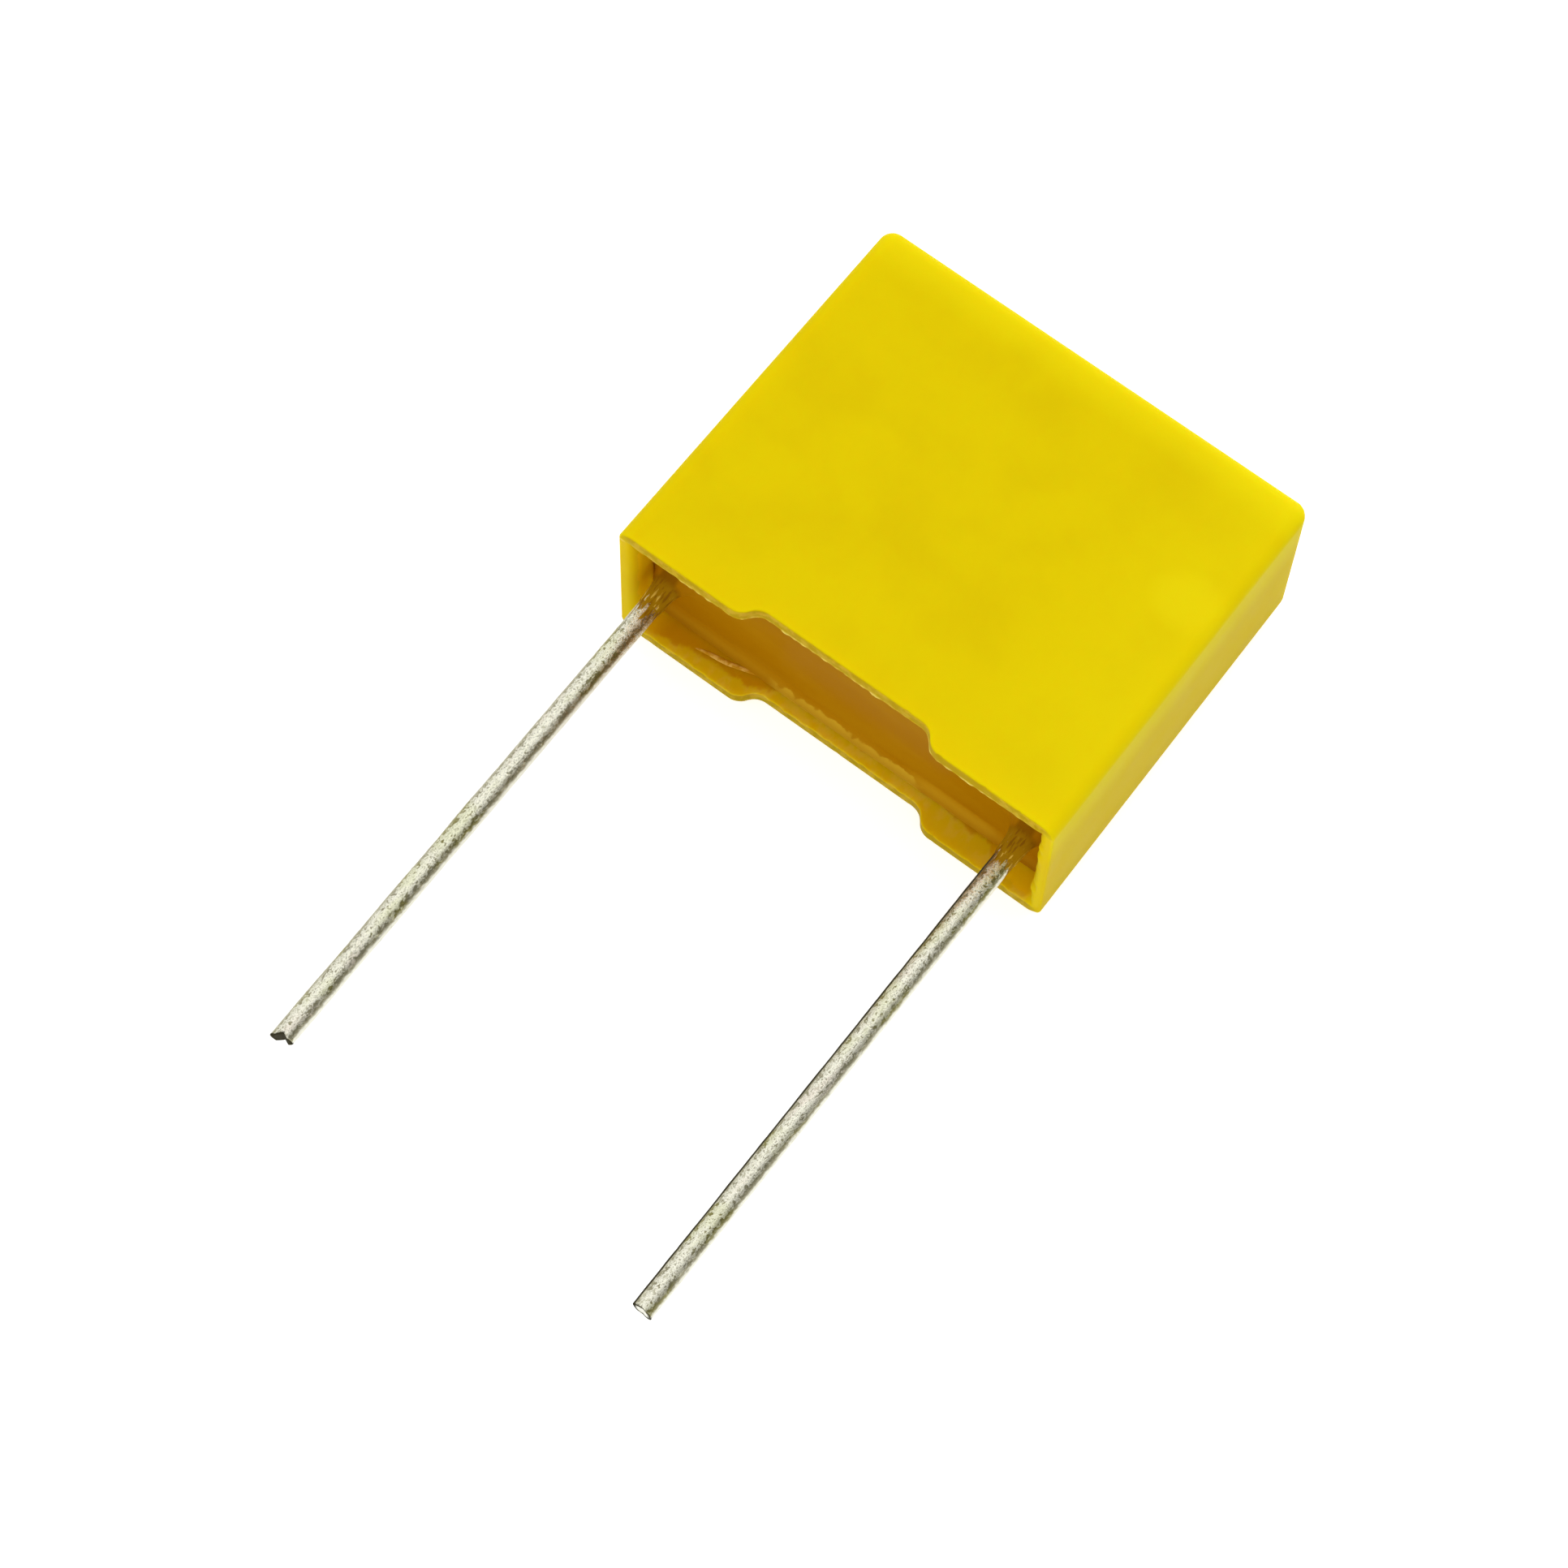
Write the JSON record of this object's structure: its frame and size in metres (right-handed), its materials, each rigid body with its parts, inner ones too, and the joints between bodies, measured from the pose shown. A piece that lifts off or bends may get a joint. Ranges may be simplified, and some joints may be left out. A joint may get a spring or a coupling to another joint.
{
  "type": "safety capacitor",
  "caption": "Box-type film capacitor: yellow moulded cup with notched rim and rounded edges, sealed with amber resin, with parallel tinned wire leads for a circuit board.",
  "frame": {"origin": "midway between the two leads on the seating plane, where the tips of the cup's feet touch a circuit board, at mid-thickness", "axes": "+X across the two leads; +Y from the seating plane to the cup's closed end, so the leads run along -Y; +Z out of the front long wall. The part lies on its back long wall."},
  "size_m": [0.018, 0.035, 0.0074],
  "materials": {
    "case": "satin yellow moulded PBT, plain",
    "resin": "glossy amber-brown cast epoxy",
    "film": "metallised polypropylene film, rolled and pressed",
    "sprayed_metal": "rough flame-sprayed zinc",
    "tinned_wire": "drawn wire, hot-tinned, lightly mottled"
  },
  "bodies": {
    "root": {"case": "case", "resin_fill": "resin", "film_winding": "film", "contact_left": "sprayed_metal", "contact_right": "sprayed_metal", "lead_left": "tinned_wire", "lead_right": "tinned_wire"}
  },
  "joints": []
}
